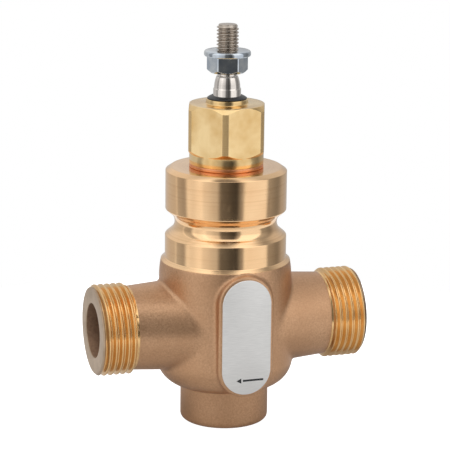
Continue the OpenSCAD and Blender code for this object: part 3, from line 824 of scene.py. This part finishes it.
def gland_housing():
    """A hexagon with its corners turned, on a collar, with a round boss on top."""
    corner_r, flat_r, collar_r, boss_r = 15.0, 13.5, 13.45, 7.6
    bore_r, spigot_r, spigot_z = 8.0, 11.9, 75.97
    outline = [(spigot_r - 0.3, spigot_z), (spigot_r, spigot_z + 0.33), (spigot_r, GLAND_Z - 0.01),
               (collar_r - 0.25, GLAND_Z), (collar_r - 0.07, GLAND_Z + 0.07), (collar_r, GLAND_Z + 0.25),
               (collar_r, GLAND_Z + 2.0), (collar_r, HEX_Z - 0.22), (collar_r + 0.04, HEX_Z - 0.08),
               (collar_r + 0.12, HEX_Z + 0.02)]
    outline += close_rings(HEX_Z + 0.1, HEX_Z + 1.40, collar_r + 0.22, corner_r - 0.06, 0.07)
    outline += close_rings(HEX_Z + 1.5, HEX_Z + 1.9, corner_r, corner_r, 0.1)
    outline += close_rings(HEX_Z + 2.4, BOSS_Z - 2.4, corner_r, corner_r, 1.0)
    outline += close_rings(BOSS_Z - 2.1, BOSS_Z - 1.75, corner_r, corner_r, 0.1)
    outline += close_rings(BOSS_Z - 1.65, BOSS_Z - 0.12, corner_r - 0.06, flat_r + 0.10, 0.07)
    outline += [(flat_r, BOSS_Z - 0.04), (flat_r - 0.15, BOSS_Z), (11.5, BOSS_Z), (boss_r + 0.65, BOSS_Z),
                (boss_r + 0.3, BOSS_Z + 0.09), (boss_r + 0.08, BOSS_Z + 0.3), (boss_r, BOSS_Z + 0.65),
                (boss_r, BOSS_TOP_Z - 0.25), (boss_r - 0.08, BOSS_TOP_Z - 0.08), (boss_r - 0.25, BOSS_TOP_Z),
                (7.05, BOSS_TOP_Z), (7.0, BOSS_TOP_Z - 0.05), (7.0, 115.47), (5.3, 115.47), (5.3, 112.97),
                (bore_r, 112.97), (bore_r, 79.82), (8.8, 79.82), (8.8, 78.72), (bore_r, 78.72), (bore_r, spigot_z)]
    mill = flats(flat_r, 10.4)

    def radius_at(radii, angles, heights):
        milled = HEX_Z < heights[0] < BOSS_Z - 0.01 and radii[0] > collar_r + 0.01
        return mill(radii, angles) if milled else radii

    housing = lathe("gland_housing_brass", outline, BRASS, 720, 28, radius_at)
    housing.data.materials.append(CORNER)
    for face in housing.data.polygons:
        middle = face.center / MM
        if HEX_Z + 1.4 < middle.z < BOSS_Z - 1.6 and math.hypot(middle.x, middle.y) > corner_r - 0.05:
            face.material_index = 1
    return housing


def stem_wiper():
    top = BOSS_TOP_Z
    outline = [(5.1, 115.6), (6.93, 115.6), (6.93, top + 0.05), (7.15, top + 0.05, 0.08), (7.15, top + 0.34, 0.12),
               (6.55, top + 0.72, 0.3), (5.65, top + 1.18, 0.25), (5.1, top + 1.18, 0.12)]
    return lathe("rubber_wiper", rounded(outline, 0.1), RUBBER, 128, 50)


def valve_stem():
    """The stem with its curved shoulder and relief, and the thread on its upper end."""
    body = [(0, 16.4), (2.2, 16.4), (2.5, 16.7), (2.5, 49.5), (STEM_R, 49.5), (STEM_R, 123.28), (4.96, 123.36),
            (4.72, 123.72), (4.70, 123.85)]
    wide, narrow, shoulder_z, shoulder_h, steps = 4.70, 3.9, 123.87, 4.0, 12
    for i in range(1, steps + 1):
        t = i / steps
        body.append((wide - (wide - narrow) * t ** 1.8, shoulder_z + shoulder_h * t))
    body += [(3.84, 127.92), (3.55, 128.05), (3.45, 128.2), (3.45, 128.8), (3.5, 128.92), (3.59, 128.97),
             (3.59, THREAD_Z), (0, THREAD_Z)]
    shaft = lathe("shaft", body, STEEL, 128, 40)
    top = [(0, THREAD_Z), (3.1, THREAD_Z)]
    top += close_rings(THREAD_Z, 145.37, STEM_CREST_R, STEM_CREST_R, 0.07)
    top += close_rings(145.42, 146.45, STEM_CREST_R - 0.03, 3.2, 0.07)
    top += [(3.1, 146.53), (2.9, 146.56), (0, 146.56)]
    blank = lathe("thread", top, STEEL_THREAD, 96)
    threaded(blank, STEEL_THREAD, start=THREAD_Z + 0.02, end=146.52, pitch=STEM_PITCH, root_radius=STEM_ROOT_R,
             crest_radius=STEM_CREST_R, flank=1 / math.tan(math.radians(30)), turned=0.0)
    return joined("threaded_stem", [shaft, blank], 45)


def coupling_nut():
    """A hexagon nut turned over, with its flange on top."""
    corner_r, flat_r, flange_z = 7.35, 6.5, 135.0
    outline = [(3.7, NUT_Z), (5.9, NUT_Z), (6.0, NUT_Z + 0.03)]
    outline += close_rings(NUT_Z + 0.1, NUT_Z + 1.15, 6.1, corner_r, 0.12)
    outline += close_rings(NUT_Z + 1.4, 134.6, corner_r, corner_r, 0.8)
    outline += [(corner_r, 134.9), (7.42, 135.05), (7.9, 135.12), (8.2, 135.27), (8.36, 135.5),
                (8.4, 135.85), (8.4, 136.1), (8.37, 136.45), (8.27, 136.8), (8.09, 137.04), (7.8, NUT_TOP_Z),
                (5.0, NUT_TOP_Z), (4.35, NUT_TOP_Z), (4.0, 136.8), (3.7, 136.5)]
    mill = flats(flat_r, 44.2, 0.12)

    def radius_at(radii, angles, heights):
        return mill(radii, angles) if heights[0] < flange_z and radii[0] > 6.0 else radii

    return lathe("flange_nut", outline, ZINC, 480, 28, radius_at)


def nameplate():
    """A stadium of thin metal, its edge slightly rolled over."""
    half_l = PLATE_L / 2 - PLATE_W / 2
    back, front = -PAD_Y, -(PAD_Y + 0.38)
    r = PLATE_W / 2
    levels = [(r - 0.02, back), (r, back - 0.06), (r, back - 0.2), (r - 0.06, front + 0.06), (r - 0.2, front)]
    arc = []
    for side, start in ((1, 0.0), (-1, math.pi)):
        for i in range(49):
            a = start + math.pi * i / 48
            arc.append((math.cos(a), math.sin(a), side))
    n = len(arc)
    verts, faces = [], []
    for radius, y in levels:
        for cx, cz, side in arc:
            verts.append((radius * cx, y, PLATE_Z + side * half_l + radius * cz))
    for i in range(len(levels) - 1):
        for j in range(n):
            k = (j + 1) % n
            faces.append([i * n + j, i * n + k, (i + 1) * n + k, (i + 1) * n + j])
    faces = [f[::-1] for f in faces]
    verts += [(0, back, PLATE_Z), (0, front, PLATE_Z)]
    last = (len(levels) - 1) * n
    for j in range(n):
        k = (j + 1) % n
        faces.append([len(verts) - 2, j, k])
        faces.append([len(verts) - 1, last + k, last + j])
    return new_piece("bare_nameplate", verts, faces, PLATE, 50)


def flow_arrow():
    """The arrow that shows which way the water goes: a bar and a head, a hair's breadth of print."""
    y0, y1 = -(PAD_Y + 0.37), -(PAD_Y + 0.398)
    z = AXIS_Z - 15.3
    bar = [(6.4, z - 0.36), (6.4, z + 0.36), (-1.3, z + 0.36), (-1.3, z - 0.36)]
    head = [(-1.9, z - 0.95), (-1.9, z + 0.95), (-3.7, z)]
    verts, faces = [], []
    for shape in (bar, head):
        start, n = len(verts), len(shape)
        verts += [(x, y0, h) for x, h in shape] + [(x, y1, h) for x, h in shape]
        faces += [[start + i, start + (i + 1) % n, start + n + (i + 1) % n, start + n + i] for i in range(n)]
        faces += [[start + i for i in reversed(range(n))], [start + n + i for i in range(n)]]
    piece = new_piece("flow_arrow", verts, faces, PRINT, 30)
    bm = bmesh.new()
    bm.from_mesh(piece.data)
    bmesh.ops.recalc_face_normals(bm, faces=bm.faces)
    bm.to_mesh(piece.data)
    bm.free()
    return piece


# ---- The valve put together
PIECES = [
    (body_casting(), "body", ["valve_body"], "cast_bronze"),
    (valve_neck(), "body", ["valve_body"], "cast_bronze"),
    (port("inlet_port", 1), "body", ["valve_body"], "cast_bronze"),
    (port("outlet_port", -1), "body", ["valve_body"], "cast_bronze"),
    (gland_gasket(), "body", ["gland_gasket"], "copper"),
    (gland_housing(), "body", ["gland_housing"], "turned_brass"),
    (stem_wiper(), "body", ["stem_wiper"], "black_rubber"),
    (nameplate(), "body", ["nameplate"], "plate_aluminium"),
    (flow_arrow(), "body", ["nameplate"], "plate_aluminium"),
    (valve_stem(), "stem", ["valve_stem"], "stainless_steel"),
    (coupling_nut(), "nut", ["coupling_nut"], "zinc_steel"),
]
for piece, body, nodes, slot in PIECES:
    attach(piece, body)
    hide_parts(*nodes)

INNER = {
    "seat_ring": STAINLESS, "upper_guide_bush": BUSH, "lower_guide_bush": BUSH, "upper_backup_ring": PTFE,
    "lower_backup_ring": PTFE, "upper_o_ring": SEAL_RUBBER, "lower_o_ring": SEAL_RUBBER, "o_ring_spacer": PLUG_BRASS,
    "bush_circlip": SPRING, "valve_plug": PLUG_BRASS, "plug_seal": PTFE, "plug_washer": STAINLESS,
    "plug_nut": STAINLESS,
}
for node, material in INNER.items():
    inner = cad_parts[node]
    inner.data.materials.clear()
    inner.data.materials.append(material)


# ---- Camera, floor and light
def photo_camera():
    """Fitted to the edges of the valve: where it stands, where it looks, and how it is tilted."""
    turn, rise, tilt = math.radians(17.935), math.radians(13.793), math.radians(-0.617)
    away = Vector((-math.sin(turn) * math.cos(rise), -math.cos(turn) * math.cos(rise), math.sin(rise)))
    target = Vector((-0.2234, 0.0723, 35.946 + AXIS_Z)) * MM
    right = Vector((0, 0, 1)).cross(away).normalized()
    up = away.cross(right).normalized()
    across = math.cos(tilt) * right - math.sin(tilt) * up
    upward = math.sin(tilt) * right + math.cos(tilt) * up
    view = bpy.data.cameras.new("photo_camera")
    view.sensor_fit = "HORIZONTAL"
    view.sensor_width = 36
    view.lens = 2049.32 / 450 * 36
    view.clip_start, view.clip_end = 0.01, 20
    camera = bpy.data.objects.new("photo_camera", view)
    bpy.context.scene.collection.objects.link(camera)
    stand = target + away * 745.95 * MM
    turned = Matrix((across, upward, away)).transposed().to_4x4()
    camera.matrix_world = Matrix.Translation(stand) @ turned
    bpy.context.scene.camera = camera
    return away


def studio_floor():
    """A pale floor that reads as white paper, with a faint shadow under the foot, and a painted shadow for metal."""
    r, z, n = 0.20, -0.0002, 96
    mesh = bpy.data.meshes.new("floor")
    mesh.from_pydata([(r * math.cos(2 * math.pi * i / n), r * math.sin(2 * math.pi * i / n), z) for i in range(n)],
                     [], [list(range(n))])
    floor = bpy.data.objects.new("floor", mesh)
    bpy.context.scene.collection.objects.link(floor)
    paper = bpy.data.materials.new("white_paper")
    paper.use_nodes = True
    tree = paper.node_tree
    tree.nodes.clear()
    new, link = tree.nodes.new, tree.links.new
    out, add = new("ShaderNodeOutputMaterial"), new("ShaderNodeAddShader")
    matt, glow, ray = new("ShaderNodeBsdfDiffuse"), new("ShaderNodeEmission"), new("ShaderNodeLightPath")
    matt.inputs["Color"].default_value = (0.48, 0.48, 0.48, 1)
    seen, glow_with_painted_shadow = new("ShaderNodeMath"), new("ShaderNodeMath")
    seen.operation, glow_with_painted_shadow.operation = "MAXIMUM", "MULTIPLY_ADD"
    link(ray.outputs["Is Camera Ray"], seen.inputs[0])
    link(ray.outputs["Is Transmission Ray"], seen.inputs[1])
    link(ray.outputs["Is Glossy Ray"], glow_with_painted_shadow.inputs[0])
    # Painted shadow: for metal the floor glows dark near the foot and pale further out, as if the valve shaded it
    spot, painted_shadow_ramp = new("ShaderNodeVectorMath"), new("ShaderNodeMapRange")
    spot.operation = "LENGTH"
    link(new("ShaderNodeTexCoord").outputs["Object"], spot.inputs[0])
    painted_shadow_ramp.interpolation_type = "SMOOTHSTEP"
    for label, value in (("From Min", 0.055), ("From Max", 0.13), ("To Min", 0.1), ("To Max", 0.4)):
        painted_shadow_ramp.inputs[label].default_value = value
    link(spot.outputs["Value"], painted_shadow_ramp.inputs["Value"])
    link(painted_shadow_ramp.outputs[0], glow_with_painted_shadow.inputs[1])
    link(seen.outputs[0], glow_with_painted_shadow.inputs[2])
    link(glow_with_painted_shadow.outputs[0], glow.inputs["Strength"])
    link(matt.outputs[0], add.inputs[0])
    link(glow.outputs[0], add.inputs[1])
    link(add.outputs[0], out.inputs["Surface"])
    mesh.materials.append(paper)


def studio_world(away):
    """White all round for the camera. For metal, a ring of soft white panels with dark gaps between."""
    world = bpy.data.worlds.new("studio")
    bpy.context.scene.world = world
    world.use_nodes = True
    tree = world.node_tree
    tree.nodes.clear()
    new, link = tree.nodes.new, tree.links.new
    out, back, ray = new("ShaderNodeOutputWorld"), new("ShaderNodeBackground"), new("ShaderNodeLightPath")
    link(back.outputs[0], out.inputs[0])
    back.inputs["Color"].default_value = (1, 1, 1, 1)

    def calc(operation, *values):
        node = new("ShaderNodeMath")
        node.operation = operation
        for socket, value in zip(node.inputs, values):
            if isinstance(value, (int, float)):
                socket.default_value = value
            else:
                link(value, socket)
        return node.outputs[0]

    direction = new("ShaderNodeTexCoord").outputs["Generated"]
    split = new("ShaderNodeSeparateXYZ")
    link(direction, split.inputs[0])
    x, y, z = split.outputs
    # Angle round the studio in shares of a turn, 0.5 on the camera's side
    ahead = math.atan2(away.y, away.x)
    c, s = math.cos(-ahead), math.sin(-ahead)
    front = calc("SUBTRACT", calc("MULTIPLY", x, c), calc("MULTIPLY", y, s))
    side = calc("ADD", calc("MULTIPLY", x, s), calc("MULTIPLY", y, c))
    angle = calc("ADD", calc("DIVIDE", calc("ARCTAN2", side, front), 2 * math.pi), 0.5)
    panels = new("ShaderNodeValToRGB")
    panels.color_ramp.interpolation = "EASE"
    ramp = panels.color_ramp.elements
    while len(ramp) > 1:
        ramp.remove(ramp[-1])
    for i, (degrees, level) in enumerate(PANELS):
        at = degrees / 360 + 0.5
        item = ramp[0] if i == 0 else ramp.new(at)
        item.position = at
        item.color = (level, level, level, 1)
    link(angle, panels.inputs[0])

    def rising(source, low, high, to_low, to_high):
        node = new("ShaderNodeMapRange")
        node.interpolation_type = "SMOOTHSTEP"
        for label, value in (("From Min", low), ("From Max", high), ("To Min", to_low), ("To Max", to_high)):
            node.inputs[label].default_value = value
        link(source, node.inputs["Value"])
        return node.outputs[0]

    lit = calc("MULTIPLY", panels.outputs[0], rising(z, 0.05, 0.45, 1.0, 1.4))
    mixed = new("ShaderNodeMix")
    mixed.data_type = "FLOAT"
    link(rising(z, 0.72, 0.95, 0.0, 1.0), mixed.inputs[0])
    link(lit, mixed.inputs[2])
    # Soft boxes hang in a ring overhead, with the dark ceiling inside the ring and behind the valve
    link(calc("MULTIPLY", rising(z, 0.955, 0.992, 1.3, 0.25), rising(front, -0.45, -0.05, 0.4, 1.0)), mixed.inputs[3])
    around = mixed.outputs[0]
    seen = calc("MAXIMUM", ray.outputs["Is Camera Ray"], ray.outputs["Is Transmission Ray"])
    strength = calc("ADD", calc("MULTIPLY", seen, calc("SUBTRACT", 1.0, around)), around)
    link(strength, back.inputs["Strength"])


def soft_light(name, place, target, size, watts):
    lamp = bpy.data.lights.new(name, "AREA")
    lamp.shape = "RECTANGLE"
    lamp.size, lamp.size_y = size
    lamp.energy = watts
    light = bpy.data.objects.new(name, lamp)
    bpy.context.scene.collection.objects.link(light)
    light.location = place
    light.visible_glossy = False
    light.rotation_euler = (Vector(place) - Vector(target)).to_track_quat("Z", "Y").to_euler()


# Angle round the studio from the camera's side, positive to its right, and how bright it is there
PANELS = [(-180, 0.62), (-112, 0.58), (-107, 0.72), (-102, 0.45), (-85, 0.38), (-75, 0.92), (-66, 0.86), (-48, 1.04),
          (-40, 0.82), (-18, 0.60), (-8, 0.14), (20, 0.06), (31, 0.32), (37, 0.98), (80, 0.98), (89, 0.33), (114, 0.24),
          (136, 0.45), (180, 0.55)]

away = photo_camera()
studio_floor()
studio_world(away)
soft_light("top_panel", (-0.15, -0.25, 0.75), (0, 0, 0.06), (0.5, 0.5), 3.0)

bpy.context.scene.view_settings.view_transform = "Standard"
